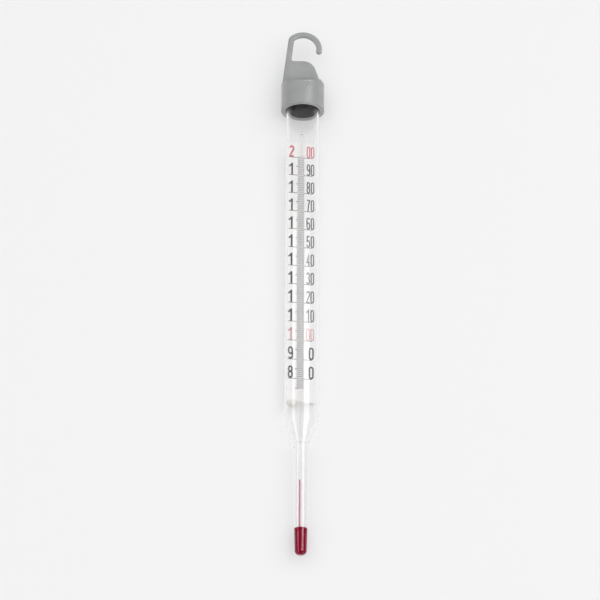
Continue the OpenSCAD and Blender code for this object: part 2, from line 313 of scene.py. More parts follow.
# %% Glass
GLASS_TINT = (0.984, 0.985, 0.984, 1.0)
CAPILLARY_TINT = (0.955, 0.945, 0.94, 1.0)
GLASS_IOR = 1.5
WALL_SHADOW = (0.995, 0.995, 0.995, 1.0)
STEM_SHADOW = (0.88, 0.88, 0.88, 1.0)
MOST_MIRRORINGS = 2.5
STREAK_SCALE = (900.0, 900.0, 25.0)
STREAK_DEPTH = 0.001 * MM


def clear_where(tree, factor, shader, tint):
    """Show the shader, and a plain see-through one where the factor is one."""
    clear = add(tree, "ShaderNodeBsdfTransparent")
    clear.inputs["Color"].default_value = tint
    either = add(tree, "ShaderNodeMixShader")
    join(tree, factor, either.inputs["Fac"])
    join(tree, shader.outputs["BSDF"], either.inputs[1])
    join(tree, clear.outputs["BSDF"], either.inputs[2])
    join(tree, either.outputs["Shader"], tree.nodes["Material Output"].inputs["Surface"])


def make_glass(name, tint, shadow):
    material, tree, shader = start_material(name)
    set_inputs(shader, Base_Color=tint, Roughness=0.0, IOR=GLASS_IOR, Transmission_Weight=1.0)
    stretch = add(tree, "ShaderNodeMapping")
    set_inputs(stretch, Scale=STREAK_SCALE)
    join(tree, add(tree, "ShaderNodeTexCoord").outputs["Object"], stretch.inputs["Vector"])
    streaks = add(tree, "ShaderNodeTexNoise")
    set_inputs(streaks, Scale=1.0, Detail=2.0)
    join(tree, stretch.outputs["Vector"], streaks.inputs["Vector"])
    bump(tree, streaks.outputs["Fac"], shader, depth=STREAK_DEPTH, strength=0.3)
    rays = add(tree, "ShaderNodeLightPath").outputs
    scattered = calc(tree, "MAXIMUM", rays["Is Shadow Ray"], rays["Is Diffuse Ray"])
    trapped = calc(tree, "GREATER_THAN", rays["Glossy Depth"], MOST_MIRRORINGS)
    clear_where(tree, calc(tree, "MAXIMUM", scattered, trapped), shader, shadow)
    return material


clear_glass = make_glass("clear_glass", GLASS_TINT, WALL_SHADOW)
stem_glass = make_glass("stem_glass", GLASS_TINT, STEM_SHADOW)
capillary_glass = make_glass("capillary_glass", CAPILLARY_TINT, WALL_SHADOW)
print("three glasses with index", GLASS_IOR)

# %% [markdown]
# ## Turned shapes
# Every glass piece is a solid of revolution, so one helper turns an outline into a mesh. An outline is
# a list of corners, each with a radius, a height and a rounding. Rounded corners become arcs, and each
# straight stretch gets an extra point close to both ends, so that smooth shading stays true on the
# long flat wall. The outline runs up the outside and down the inside, which makes every face point
# from the glass to the air, as a refracting shader needs.

# %% Outlines with rounded corners
ARC_STEPS = 16
HOLD = 0.12 * MM
SHORTEST_HELD = 4 * HOLD


def rounded_corner(before, corner, after, rounding):
    """Points along the arc that rounds off one corner."""
    back = (before - corner).normalized()
    ahead = (after - corner).normalized()
    half = math.acos(max(-1.0, min(1.0, back.dot(ahead)))) / 2
    middle = corner + (back + ahead).normalized() * rounding / math.sin(half)
    start = corner + back * rounding / math.tan(half) - middle
    end = corner + ahead * rounding / math.tan(half) - middle
    sweep = math.atan2(start.x * end.y - start.y * end.x, start.dot(end))
    return [middle + Matrix.Rotation(sweep * i / ARC_STEPS, 2) @ start for i in range(ARC_STEPS + 1)]


def outline(corners):
    """An open outline from (radius, height, rounding) corners, with held ends on its straight stretches."""
    spots = [Vector(corner[:2]) for corner in corners]
    stretches = [[spots[0]]]
    for i in range(1, len(corners) - 1):
        rounding = corners[i][2]
        turn = rounded_corner(spots[i - 1], spots[i], spots[i + 1], rounding) if rounding else [spots[i]]
        stretches.append(turn)
    stretches.append([spots[-1]])
    points = []
    for here, following in zip(stretches, stretches[1:]):
        points += here
        step = following[0] - here[-1]
        if step.length > SHORTEST_HELD:
            points += [here[-1] + step.normalized() * HOLD, following[0] - step.normalized() * HOLD]
    return points + stretches[-1]


print("a rounded corner gets", ARC_STEPS + 1, "points")

# %% Turning an outline round the axis
ON_AXIS = 1e-9


def turned_faces(points, sides, shift):
    """Vertices and faces of an outline turned round an axis at x = shift, closed where it meets it."""
    vertices, rings, faces = [], [], []
    for point in points:
        spokes = 1 if point.x < ON_AXIS else sides
        rings.append(range(len(vertices), len(vertices) + spokes))
        for k in range(spokes):
            angle = 2 * math.pi * k / sides
            vertices.append((shift + point.x * math.cos(angle), point.x * math.sin(angle), point.y))
    for low, high in zip(rings, rings[1:]):
        for k in range(sides):
            n = (k + 1) % sides
            corners = [low[k % len(low)], low[n % len(low)], high[n % len(high)], high[k % len(high)]]
            face = list(dict.fromkeys(corners))
            if len(face) > 2:
                faces.append(face)
    return vertices, faces


def mesh_object(name, vertices, faces, material, smooth=True):
    """A linked object at the origin, with its place in its mesh."""
    mesh = bpy.data.meshes.new(name)
    mesh.from_pydata(vertices, [], faces)
    mesh.materials.append(material)
    mesh.polygons.foreach_set("use_smooth", [smooth] * len(mesh.polygons))
    mesh.update()
    piece = bpy.data.objects.new(name, mesh)
    scene.collection.objects.link(piece)
    return piece


def turned_object(name, turnings, sides, material):
    """One piece from one or more outlines, each with the x of the axis that it is turned round."""
    vertices, faces = [], []
    for points, shift in turnings:
        more_vertices, more_faces = turned_faces(points, sides, shift)
        first = len(vertices)
        vertices += more_vertices
        faces += [[first + k for k in face] for face in more_faces]
    piece = mesh_object(name, vertices, faces, material)
    print(name, "has", len(faces), "faces")
    return piece


print("outlines close where they come within", ON_AXIS, "m of the axis")

# %% [markdown]
# ## The glass envelope
# On the bench the sheath, the stem and the bulb are worked in one flame, so they are one piece of glass
# and show no seam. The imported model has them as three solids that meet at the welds. Drawing them as a
# single turned outline removes the inner faces that would glitter at each weld. The lower end of the
# capillary is melted into the stem as well, so below the neck the glass is solid, with two hollows left in
# it: the bulb, and the fine bore that leads up from it. A solid stem is a lens, which makes the thread
# look half as wide again. Radii and levels are read from the solids. Only walls and roundings, which a
# box can't tell, are written here.

# %% Levels and radii, from the solids
def radius_of(node):
    low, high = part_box(node)
    return (high.x - low.x) / 2


def levels_of(node):
    low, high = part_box(node)
    return low.z, high.z


NECK_WELD, TUBE_TOP = levels_of("sheath_tube")
BULB_WELD = levels_of("stem_tube")[0]
BULB_TIP = levels_of("bulb")[0]
CAPILLARY_TOP = levels_of("capillary_tube")[1]
TUBE_R = radius_of("sheath_tube")
STEM_R = radius_of("stem_tube")
WELD_R = radius_of("bulb")
CAPILLARY_R = radius_of("capillary_tube")
CORE_X = sum(corner.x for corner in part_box("capillary_tube")) / 2
print("tube", round(2 * TUBE_R / MM, 2), "mm across, stem", round(2 * STEM_R / MM, 2), "mm across")

# %% Walls and roundings
TUBE_WALL = 1.0 * MM
NECK_WALL = 1.7 * MM
BULB_WALL = 0.45 * MM
RIM_ROUND = 0.4 * MM
NECK_H = 3.0 * MM
NECK_ROUND = 0.5 * MM
NECK_BORE = STEM_R - NECK_WALL
SHOULDER_H = 11.0 * MM
SHOULDER_ROUND = 8.0 * MM
STEM_CLOSE = 2.0 * MM
WELD_ROUND = STEM_CLOSE / 2
BULB_R = 3.15 * MM
BULB_TIP_R = 2.85 * MM
END_SHARE = 0.8
BORE_R = 0.25 * MM
FILM = 0.02 * MM
SHOULDER_FOOT = NECK_WELD + NECK_H
SHOULDER_TOP = SHOULDER_FOOT + SHOULDER_H
NECK_FLOOR = SHOULDER_FOOT + NECK_ROUND
print("bore", round(2 * BORE_R / MM, 2), "mm across")


# %% The envelope
def reservoir_outline(grow):
    """The inside of the bulb, from its tip up to its roof, grown by a little into the glass."""
    foot = BULB_TIP + BULB_WALL - grow
    roof = BULB_WELD - BULB_WALL + grow
    tip_r = BULB_TIP_R - BULB_WALL + grow
    top_r = BULB_R - BULB_WALL + grow
    return outline([
        (0.0, foot, 0.0),
        (tip_r, foot, tip_r * END_SHARE),
        (top_r, roof, top_r / 2),
        (0.0, roof, 0.0),
    ])


envelope_outline = outline([
    (0.0, BULB_TIP, 0.0),
    (BULB_TIP_R, BULB_TIP, BULB_TIP_R * END_SHARE),
    (BULB_R, BULB_WELD - STEM_CLOSE, WELD_ROUND),
    (WELD_R, BULB_WELD, WELD_ROUND),
    (STEM_R, BULB_WELD + STEM_CLOSE, WELD_ROUND),
    (STEM_R, SHOULDER_FOOT, SHOULDER_ROUND),
    (TUBE_R, SHOULDER_TOP, SHOULDER_ROUND),
    (TUBE_R, TUBE_TOP, RIM_ROUND),
    (TUBE_R - TUBE_WALL, TUBE_TOP, RIM_ROUND),
    (TUBE_R - TUBE_WALL, SHOULDER_TOP + TUBE_WALL, SHOULDER_ROUND),
    (NECK_BORE, NECK_FLOOR, NECK_ROUND),
    (0.0, NECK_FLOOR, 0.0),
])
reservoir_hollow = list(reversed(reservoir_outline(0.0)))
bore_hollow = outline([
    (0.0, NECK_FLOOR - 2 * FILM, 0.0),
    (BORE_R, NECK_FLOOR - 2 * FILM, 0.0),
    (BORE_R, BULB_WELD - BULB_WALL + FILM, 0.0),
    (0.0, BULB_WELD - BULB_WALL + FILM, 0.0),
])
turnings = [(envelope_outline, 0.0), (reservoir_hollow, 0.0), (bore_hollow, CORE_X)]
envelope = turned_object("glass_envelope", turnings, sides=288, material=clear_glass)
envelope.data.materials.append(stem_glass)
for face in envelope.data.polygons:
    face.material_index = int(face.center.z < SHOULDER_FOOT)

# %% [markdown]
# ## The capillary
# Above the neck the capillary stands free: a glass rod with a fine bore, a little left of the middle. It
# acts as a lens in front of the scale. The bore widens to a pear-shaped chamber at its closed upper end,
# which catches the spirit if the thermometer is overheated.

# %% The capillary
CHAMBER_R = 0.6 * MM
CHAMBER_LEN = 4.0 * MM
CHAMBER_TOP = CAPILLARY_TOP - CAPILLARY_R
CAPILLARY_FOOT = NECK_FLOOR - FILM

capillary_outline = outline([
    (BORE_R, CAPILLARY_FOOT, 0.0),
    (CAPILLARY_R, CAPILLARY_FOOT, 0.0),
    (CAPILLARY_R, CAPILLARY_TOP, CAPILLARY_R * END_SHARE),
    (0.0, CAPILLARY_TOP, 0.0),
])
bore_outline = outline([
    (0.0, CHAMBER_TOP, 0.0),
    (CHAMBER_R, CHAMBER_TOP, CHAMBER_R * END_SHARE),
    (CHAMBER_R, CHAMBER_TOP - CHAMBER_LEN / 2, CHAMBER_R),
    (BORE_R, CHAMBER_TOP - CHAMBER_LEN, BORE_R),
    (BORE_R, CAPILLARY_FOOT, 0.0),
])
turnings = [(capillary_outline, CORE_X), (bore_outline, CORE_X)]
capillary = turned_object("glass_capillary", turnings, sides=64, material=capillary_glass)

# %% [markdown]
# ## The red spirit
# The spirit is a dyed liquid. It wets the glass, so the filling and the thread both grow a hair into it:
# with no film of air between them, the bulb looks red right out to its edge, and the stem magnifies the
# whole thread. The dye looks deep where the liquid is thick, and paler in the fine thread. The foot of the
# thread stays in the bulb while its top moves with the spirit; here the thread's mesh is only set in
# place.

# %% Spirit
SPIRIT_DEEP = ((0.26, 0.002, 0.025), (0.31, 0.003, 0.031))
SPIRIT_THIN = ((0.68, 0.26, 0.33), (0.74, 0.31, 0.39))


def make_red_spirit(name, tones):
    material, tree, shader = start_material(name)
    set_inputs(shader, Roughness=0.06, IOR=1.37, Specular_IOR_Level=0.02)
    _, mottle, _ = place_grain(tree, grain_scale=900.0, mottle_scale=240.0)
    join(tree, mottled(tree, mottle, tones), shader.inputs["Base Color"])
    return material


red_spirit = make_red_spirit("red_spirit", SPIRIT_DEEP)
thin_spirit = make_red_spirit("red_spirit_thin", SPIRIT_THIN)
filling = turned_object("bulb_filling", [(reservoir_outline(FILM), 0.0)], sides=96, material=red_spirit)

# %% The thread and its meniscus
THREAD_FOOT, THREAD_TOP = levels_of("spirit_thread")
MENISCUS_TOP = levels_of("spirit_meniscus")[1]
THREAD_R = BORE_R + FILM / 2
HOLLOW = 0.2 * MM
HOLLOW_BEND = 0.7

thread_outline = outline([
    (0.0, THREAD_FOOT, 0.0),
    (THREAD_R, THREAD_FOOT, 0.0),
    (THREAD_R, THREAD_TOP, 0.0),
    (THREAD_R, MENISCUS_TOP, 0.0),
    (THREAD_R * HOLLOW_BEND, MENISCUS_TOP - HOLLOW * HOLLOW_BEND, 0.0),
    (0.0, MENISCUS_TOP - HOLLOW, 0.0),
])
turnings = [(thread_outline, CORE_X)]
thread = turned_object("spirit_thread_and_meniscus", turnings, sides=32, material=thin_spirit)
print("it stands", round((MENISCUS_TOP - THREAD_FOOT) / MM, 1), "mm above the roof of the bulb")

# %% [markdown]
# ## The scale card
# The card is a strip of coated paper board that just fits across the tube, turned a little so that its
# right edge lies deeper. Its solid is right as it is, so it only needs a paper finish: a slow mottle in
# the white, and a fine tooth. Everything printed on it is placed by a small frame of the card's own, with
# u across the card from its middle, v up the thermometer, and the print half sunk in its face.

# %% Card paper
PAPER_TONES = ((0.872, 0.858, 0.860), (0.905, 0.892, 0.895))
TOOTH_DEPTH = 0.01 * MM


def make_card_paper():
    material, tree, shader = start_material("card_paper")
    set_inputs(shader, Roughness=0.62, Specular_IOR_Level=0.35)
    grain, mottle, _ = place_grain(tree, grain_scale=4200.0, mottle_scale=90.0)
    join(tree, mottled(tree, mottle, PAPER_TONES), shader.inputs["Base Color"])
    bump(tree, grain, shader, depth=TOOTH_DEPTH)
    return material


finish_solid("scale_card", make_card_paper())

# %% The card's own frame
CARD_TURN = math.radians(11.0)
CARD_T = 0.4 * MM

card_low, card_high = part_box("scale_card")
across, deep = math.cos(CARD_TURN), math.sin(CARD_TURN)
CARD_W = (card_high.x - card_low.x - CARD_T * deep) / across
CARD_DEPTH = (card_low.y + CARD_W / 2 * deep) / across
to_card = Matrix.Rotation(CARD_TURN, 4, "Z") @ Matrix.Translation((0.0, CARD_DEPTH, 0.0))
print("card", round(CARD_W / MM, 2), "mm wide, its face", round(CARD_DEPTH / MM, 2), "mm behind the axis")

# %% [markdown]
# ## Ink
# The print is a thin film of black and red ink. Ink on board is never quite even, so its tone wanders a
# little with the same mottle group. The lower red number is given a paler red of its own.

# %% Ink
BLACK_INK = ((0.040, 0.040, 0.043), (0.070, 0.070, 0.074))
RED_INK = ((0.58, 0.10, 0.12), (0.66, 0.14, 0.16))
PALE_RED_INK = ((0.62, 0.32, 0.34), (0.68, 0.38, 0.40))
INK_T = 0.02 * MM


def make_ink(name, tones):
    material, tree, shader = start_material(name)
    set_inputs(shader, Roughness=0.5, Specular_IOR_Level=0.4)
    _, mottle, _ = place_grain(tree, grain_scale=5200.0, mottle_scale=700.0)
    join(tree, mottled(tree, mottle, tones), shader.inputs["Base Color"])
    return material


black_ink = make_ink("black_ink", BLACK_INK)
red_ink = make_ink("red_ink", RED_INK)
pale_red_ink = make_ink("pale_red_ink", PALE_RED_INK)
print("three inks,", round(INK_T / MM, 2), "mm thick")

# %% [markdown]
# ## The graduations
# The scale runs from 75 to 200 in single degrees, one millimetre apart. That is a rule, so Geometry Nodes
# draw it: a line of points, a box on each point, and a length that depends on whether the degree is a
# ten, a five or neither. The lengths are inputs of the tree, so the look of the scale can be changed
# without touching a node. Instances are realised at the end, because only real faces can be exported.

# %% Sizes of the lines
FIRST_DEGREE = 75
LAST_DEGREE = 200
DEGREE = 1.0 * MM
TOP_LINE = -62.25 * MM
PRINT_U = -0.8 * MM
LINES = {
    "First Degree": FIRST_DEGREE, "Count": LAST_DEGREE - FIRST_DEGREE + 1, "Pitch": DEGREE,
    "One Width": 0.41 * MM, "Ten Width": 0.3 * MM, "Ink Thickness": INK_T,
    "Left One": 1.35 * MM, "Left Five": 2.1 * MM, "Left Ten": 6.0 * MM,
    "Right One": 1.75 * MM, "Right Ten": 6.4 * MM,
}


def choose(tree, condition, if_false, if_true):
    """One of two lengths."""
    node = add(tree, "GeometryNodeSwitch", input_type="FLOAT")
    join(tree, condition, node.inputs["Switch"])
    join(tree, if_false, node.inputs["False"])
    join(tree, if_true, node.inputs["True"])
    return node.outputs["Output"]


def is_multiple(tree, degree, of):
    return calc(tree, "LESS_THAN", calc(tree, "FLOORED_MODULO", degree, of), 0.5)


def line_sizes(tree, given):
    """How far each line reaches to the left and to the right, and how wide it is."""
    index = add(tree, "GeometryNodeInputIndex").outputs["Index"]
    degree = calc(tree, "ADD", index, given["First Degree"])
    is_ten = is_multiple(tree, degree, 10.0)
    is_five = is_multiple(tree, degree, 5.0)
    one_or_five = choose(tree, is_five, given["Left One"], given["Left Five"])
    left = choose(tree, is_ten, one_or_five, given["Left Ten"])
    right = choose(tree, is_ten, given["Right One"], given["Right Ten"])
    width = choose(tree, is_ten, given["One Width"], given["Ten Width"])
    return left, right, width


print("lines for", FIRST_DEGREE, "to", LAST_DEGREE, "degrees")


# %% The graduation tree
def make_line_tree(ink):
    tree = bpy.data.node_groups.new("scale_lines", "GeometryNodeTree")
    for name, value in LINES.items():
        kind = "NodeSocketInt" if isinstance(value, int) else "NodeSocketFloat"
        tree.interface.new_socket(name, in_out="INPUT", socket_type=kind).default_value = value
    tree.interface.new_socket("Geometry", in_out="OUTPUT", socket_type="NodeSocketGeometry")
    given = add(tree, "NodeGroupInput").outputs
    left, right, width = line_sizes(tree, given)
    length = calc(tree, "ADD", left, right)
    middle = calc(tree, "MULTIPLY", calc(tree, "SUBTRACT", right, left), 0.5)

    line = add(tree, "GeometryNodeMeshLine", mode="OFFSET")
    join(tree, given["Count"], line.inputs["Count"])
    join(tree, vector(tree, Z=given["Pitch"]), line.inputs["Offset"])
    box = add(tree, "GeometryNodeMeshCube")
    on_points = add(tree, "GeometryNodeInstanceOnPoints")
    join(tree, line.outputs["Mesh"], on_points.inputs["Points"])
    join(tree, box.outputs["Mesh"], on_points.inputs["Instance"])
    join(tree, vector(tree, X=length, Y=given["Ink Thickness"], Z=width), on_points.inputs["Scale"])
    aside = add(tree, "GeometryNodeTranslateInstances")
    aside.inputs["Local Space"].default_value = False
    join(tree, on_points.outputs["Instances"], aside.inputs["Instances"])
    join(tree, vector(tree, X=middle), aside.inputs["Translation"])
    real = add(tree, "GeometryNodeRealizeInstances")
    join(tree, aside.outputs["Instances"], real.inputs["Geometry"])
    inked = add(tree, "GeometryNodeSetMaterial")
    inked.inputs["Material"].default_value = ink
    join(tree, real.outputs["Geometry"], inked.inputs["Geometry"])
    join(tree, inked.outputs["Geometry"], add(tree, "NodeGroupOutput").inputs["Geometry"])
    return tree


line_tree = make_line_tree(black_ink)
print("the tree for the lines has", len(line_tree.nodes), "nodes")


# %% Graduations as a plain mesh
def plain_mesh(source, name):
    """The evaluated mesh of an object as a plain one, and the object removed."""
    evaluated = source.evaluated_get(bpy.context.evaluated_depsgraph_get())
    mesh = bpy.data.meshes.new_from_object(evaluated)
    mesh.name = name
    bpy.data.objects.remove(source)
    piece = bpy.data.objects.new(name, mesh)
    scene.collection.objects.link(piece)
    return piece


holder = mesh_object("scale_lines_source", [], [], black_ink)
modifier = holder.modifiers.new("scale_lines", "NODES")
modifier.node_group = line_tree
for item in line_tree.interface.items_tree:
    if item.in_out == "INPUT":
        modifier[item.identifier] = LINES[item.name]
scale_lines = plain_mesh(holder, "scale_lines")
first_line = TOP_LINE - (LAST_DEGREE - FIRST_DEGREE) * DEGREE
scale_lines.data.transform(to_card @ Matrix.Translation((PRINT_U, 0.0, first_line)))
print("graduations:", LINES["Count"], "lines,", len(scale_lines.data.polygons), "faces")

# %% [markdown]
# ## The numbers
# The numbers are tall, narrow and heavy, with strokes of one width. A squeezed type would have thin
# uprights, so each figure is drawn as a pen would write it: a path of lines and arcs, with a ribbon of
# constant width laid along it. Figures that share a bowl share its arc, and the nine is a six turned
# upside down. The tens numbers stand on their line, with the first figure to the left of the capillary
# and the rest to its right, where two figures share the room of one and are drawn narrower. The first
# figure of three gets the broadest pen.

# %% Pen paths of the figures
ROUND_END = 0.17


def bow(x, y, rx, ry, start, end, steps=14):
    """Points along an elliptic arc, in shares of the path's width and height, from one angle to another."""
    turns = [math.radians(start + (end - start) * i / steps) for i in range(steps + 1)]
    return [(x + rx * math.cos(t), y + ry * math.sin(t)) for t in turns]


def upside_down(paths):
    return [([(1 - x, 1 - y) for x, y in path], closed) for path, closed in paths]


upper_end = bow(0.5, 1 - ROUND_END, 0.5, ROUND_END, 0, 180)
lower_end = bow(0.5, ROUND_END, 0.5, ROUND_END, 180, 360)
six = [
    (bow(0.5, 0.29, 0.5, 0.29, 0, 345, 28), True),
    (bow(0.5, 1 - ROUND_END, 0.5, ROUND_END, 25, 180) + [(0.0, 0.29)], False),
]
FIGURES = {
    "0": [(upper_end + lower_end, True)],
    "1": [([(0.64, 1.09), (0.64, -0.09)], False), ([(-0.22, 0.74), (0.64, 0.98)], False)],
    "2": [(bow(0.5, 0.76, 0.5, 0.24, 172, -35) + [(0.10, 0.12), (0.03, 0.0), (1.06, 0.0)], False)],
    "3": [
        (bow(0.48, 0.765, 0.48, 0.235, 165, -90), False),
        (bow(0.5, 0.265, 0.5, 0.265, 90, -168), False),
    ],
    "4": [([(0.74, -0.055), (0.74, 1.0), (0.0, 0.27), (1.12, 0.27)], False)],
    "5": [([(0.98, 1.0), (0.16, 1.0), (0.06, 0.52)] + bow(0.5, 0.31, 0.5, 0.31, 128, -165), False)],
    "6": six,
    "7": [([(-0.06, 1.0), (1.0, 1.0), (0.56, 0.5), (0.34, -0.055)], False)],
    "8": [
        (bow(0.5, 0.765, 0.45, 0.235, 0, 345, 23), True),
        (bow(0.5, 0.265, 0.5, 0.265, 0, 345, 23), True),
    ],
    "9": upside_down(six),
}
print("pen paths for", len(FIGURES), "figures")

# %% Ribbons along the paths
FIGURE_H = 6.5 * MM
BOLD = (2.75 * MM, 0.90 * MM)
WIDE = (2.75 * MM, 0.82 * MM)
NARROW = (1.98 * MM, 0.58 * MM)
SHARPEST_MITRE = 0.35


def ribbon(path, closed, middle, foot, width, pen):
    """Flat vertices (u, v) and faces of a pen stroke, with mitred joints."""
    reach, rise = width - pen, FIGURE_H - pen
    points = [Vector((middle + (x - 0.5) * reach, foot + pen / 2 + y * rise)) for x, y in path]
    count = len(points)
    vertices = []
    for i, point in enumerate(points):
        before = points[i - 1] if closed or i > 0 else None
        after = points[(i + 1) % count] if closed or i < count - 1 else None
        ways = [(b - a).normalized() for a, b in ((before, point), (point, after)) if a and b]
        way = sum(ways, Vector((0.0, 0.0))).normalized()
        mitre = max(way.dot(ways[0]), SHARPEST_MITRE)
        aside = Vector((-way.y, way.x)) * pen / 2 / mitre
        vertices += [point + aside, point - aside]
    last = count if closed else count - 1
    faces = [[2 * i, 2 * i + 1, (2 * i + 3) % (2 * count), (2 * i + 2) % (2 * count)] for i in range(last)]
    return vertices, faces


def figures_object(name, placed, ink):
    """One inked mesh of (figure, middle u, foot v, size) entries, given the thickness of the ink."""
    vertices, faces = [], []
    for figure, middle, foot, size in placed:
        for path, closed in FIGURES[figure]:
            flat, more_faces = ribbon(path, closed, middle, foot, *size)
            first = len(vertices)
            vertices += [(point.x, 0.0, point.y) for point in flat]
            faces += [[first + k for k in face] for face in more_faces]
    source = mesh_object(name + "_source", vertices, faces, ink, smooth=False)
    film = source.modifiers.new("film", "SOLIDIFY")
    film.thickness = INK_T
    film.offset = 0.0
    piece = plain_mesh(source, name)
    piece.data.transform(to_card)
    return piece


print("figures are", FIGURE_H / MM, "mm tall")

# %% Numbers on the card
FIRST_U = PRINT_U - 4.55 * MM
TWO_COLUMNS = ((FIRST_U, WIDE), (PRINT_U + 6.1 * MM, WIDE))
THREE_COLUMNS = ((FIRST_U, BOLD), (PRINT_U + 4.33 * MM, NARROW), (PRINT_U + 6.6 * MM, NARROW))
STAND_OFF = 0.15 * MM
FIRST_TEN = 80
RED_DEGREES = (100, 200)


def level_of(degree):
    return TOP_LINE - (LAST_DEGREE - degree) * DEGREE


def placed_figures(degrees):
    placed = []
    for degree in degrees:
        text = str(degree)
        foot = level_of(degree) + STAND_OFF
        columns = THREE_COLUMNS if len(text) == 3 else TWO_COLUMNS
        placed += [(figure, middle, foot, size) for figure, (middle, size) in zip(text, columns)]
    return placed


tens = range(FIRST_TEN, LAST_DEGREE + 1, 10)
black_tens = set(tens) - set(RED_DEGREES)
black_numbers = figures_object("scale_numbers_black", placed_figures(black_tens), black_ink)
red_numbers = figures_object("scale_numbers_red", placed_figures(RED_DEGREES), red_ink)
red_numbers.data.materials.append(pale_red_ink)
half_way = level_of(sum(RED_DEGREES) / 2)
for face in red_numbers.data.polygons:
    face.material_index = int(face.center.z < half_way)
print("numbers:", len(tens), "of which", len(RED_DEGREES), "are red")

# %% [markdown]
# ## Cement
# Two dabs of pale cement hold the foot of the card in the glass. Set cement is milky and a little
# yellow, and light goes some way into it.

# %% Cement
CEMENT_TONES = ((0.74, 0.73, 0.68), (0.80, 0.79, 0.75))
CEMENT_RELIEF = 0.25 * MM


def make_cement():
    material, tree, shader = start_material("cement")
    set_inputs(shader, Roughness=0.35, Subsurface_Weight=0.7, Subsurface_Scale=2 * MM)
    set_inputs(shader, Subsurface_Radius=(1.0, 0.95, 0.85))
    _, mottle, _ = place_grain(tree, grain_scale=1400.0, mottle_scale=420.0)
    join(tree, mottled(tree, mottle, CEMENT_TONES), shader.inputs["Base Color"])
    bump(tree, mottle, shader, depth=CEMENT_RELIEF)
    return material


finish_solid("card_cement", make_cement())

# %% [markdown]
# ## What rides on what
# Each new piece is listed with the solids that it stands for and the record's slot for its finish. Each is
# attached to the body that it moves with, and the solids it stands for, if any, are hidden; the slot is not
# used. The thread, the one piece that belongs to two bodies, is only set in place, and its solids are
# hidden.

# %% Bodies, replaced solids and slots
GLASSWARE = "thermometer"
for piece, stands_for, slot in (
    (envelope, ("sheath_tube", "stem_tube", "bulb"), "clear_glass"),
    (capillary, ("capillary_tube",), "clear_glass"),
    (filling, ("reservoir_spirit",), "red_spirit"),
    (scale_lines, (), "card_paper"),
    (black_numbers, (), "card_paper"),
    (red_numbers, (), "card_paper"),
):
    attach(piece, GLASSWARE)
    if stands_for:
        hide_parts(*stands_for)
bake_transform(thread)
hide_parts("spirit_thread", "spirit_meniscus")

# %% [markdown]
# ## The white table
# The thermometer lies on a white table, which here stands upright behind it, touching the back of the
# collar and of the tube. The table is a sheet of opal with a little light behind it, which keeps the
# shadows pale. It has one side only: seen from behind it is clear, so that the back of the thermometer
# can be looked at too, and it casts no shadow on what lies on it.

# %% Table
TABLE_WHITE = (0.63, 0.63, 0.634, 1.0)
TABLE_LIGHT = (1.0, 1.0, 1.005, 1.0)
TABLE_GLOW = 0.265
TABLE_REACH = 3.0
ALL_CLEAR = (1.0, 1.0, 1.0, 1.0)


def make_opal():
    material, tree, shader = start_material("table_white")
    set_inputs(shader, Base_Color=TABLE_WHITE, Roughness=0.8, Specular_IOR_Level=0.2)
    set_inputs(shader, Emission_Color=TABLE_LIGHT, Emission_Strength=TABLE_GLOW)
    from_behind = add(tree, "ShaderNodeNewGeometry").outputs["Backfacing"]
    clear_where(tree, from_behind, shader, ALL_CLEAR)
    return material


def make_table():
    cap_low, cap_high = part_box("hook_cap")
    back_of_collar = Vector((cap_high.y, cap_low.z))
    back_of_tube = Vector((TUBE_R, SHOULDER_TOP))
    lean = (back_of_collar - back_of_tube).normalized()
    low = back_of_tube - lean * TABLE_REACH
    high = back_of_collar + lean * TABLE_REACH
    corners = [
        (-TABLE_REACH, low.x, low.y), (TABLE_REACH, low.x, low.y),
        (TABLE_REACH, high.x, high.y), (-TABLE_REACH, high.x, high.y),
    ]
    sheet = mesh_object("table", corners, [[0, 1, 2, 3]], make_opal(), smooth=False)
    sheet.visible_shadow = False
    return sheet


table = make_table()
print("table faces", [round(x, 3) for x in table.data.polygons[0].normal])

# %% [markdown]
# ## Light
# The light is that of a white tent with its bright wall in front, on the -Y side. It is dim from the
# sides, and from straight above and straight below, which keeps the tube under the cap light and the
# cap's mouth dark. A large lamp at the right throws a weak shadow to the left, and a small one at the
# left fills it. Together they light a white surface to just under white. Mirrored in plastic or glass,
# that wall would veil every colour, so reflections see a nearly black sky. What is seen directly, through
# the glass, or by a ray that the glass let out, is white.

# %% Sky
SKY_FRONT = 1.72
SKY_SIDES = 0.10
MIRROR_FRONT = 0.03
MIRROR_SIDES = 0.06
SKY_SEEN = 0.90
SKY_FROM_BELOW = 0.0
SKY_FROM_ABOVE = 0.3
SIDE_TO_FRONT = (1.0, 0.2)
BELOW_TO_LEVEL = (-0.9, -0.45)
LEVEL_TO_ABOVE = (0.3, 0.8)


def blended(tree, factor, first, second):
    """A value between two."""
    mix = add(tree, "ShaderNodeMix", data_type="FLOAT")
    join(tree, factor, mix.inputs["Factor"])
    feed(tree, first, mix.inputs["A"])
    feed(tree, second, mix.inputs["B"])
    return mix.outputs["Result"]


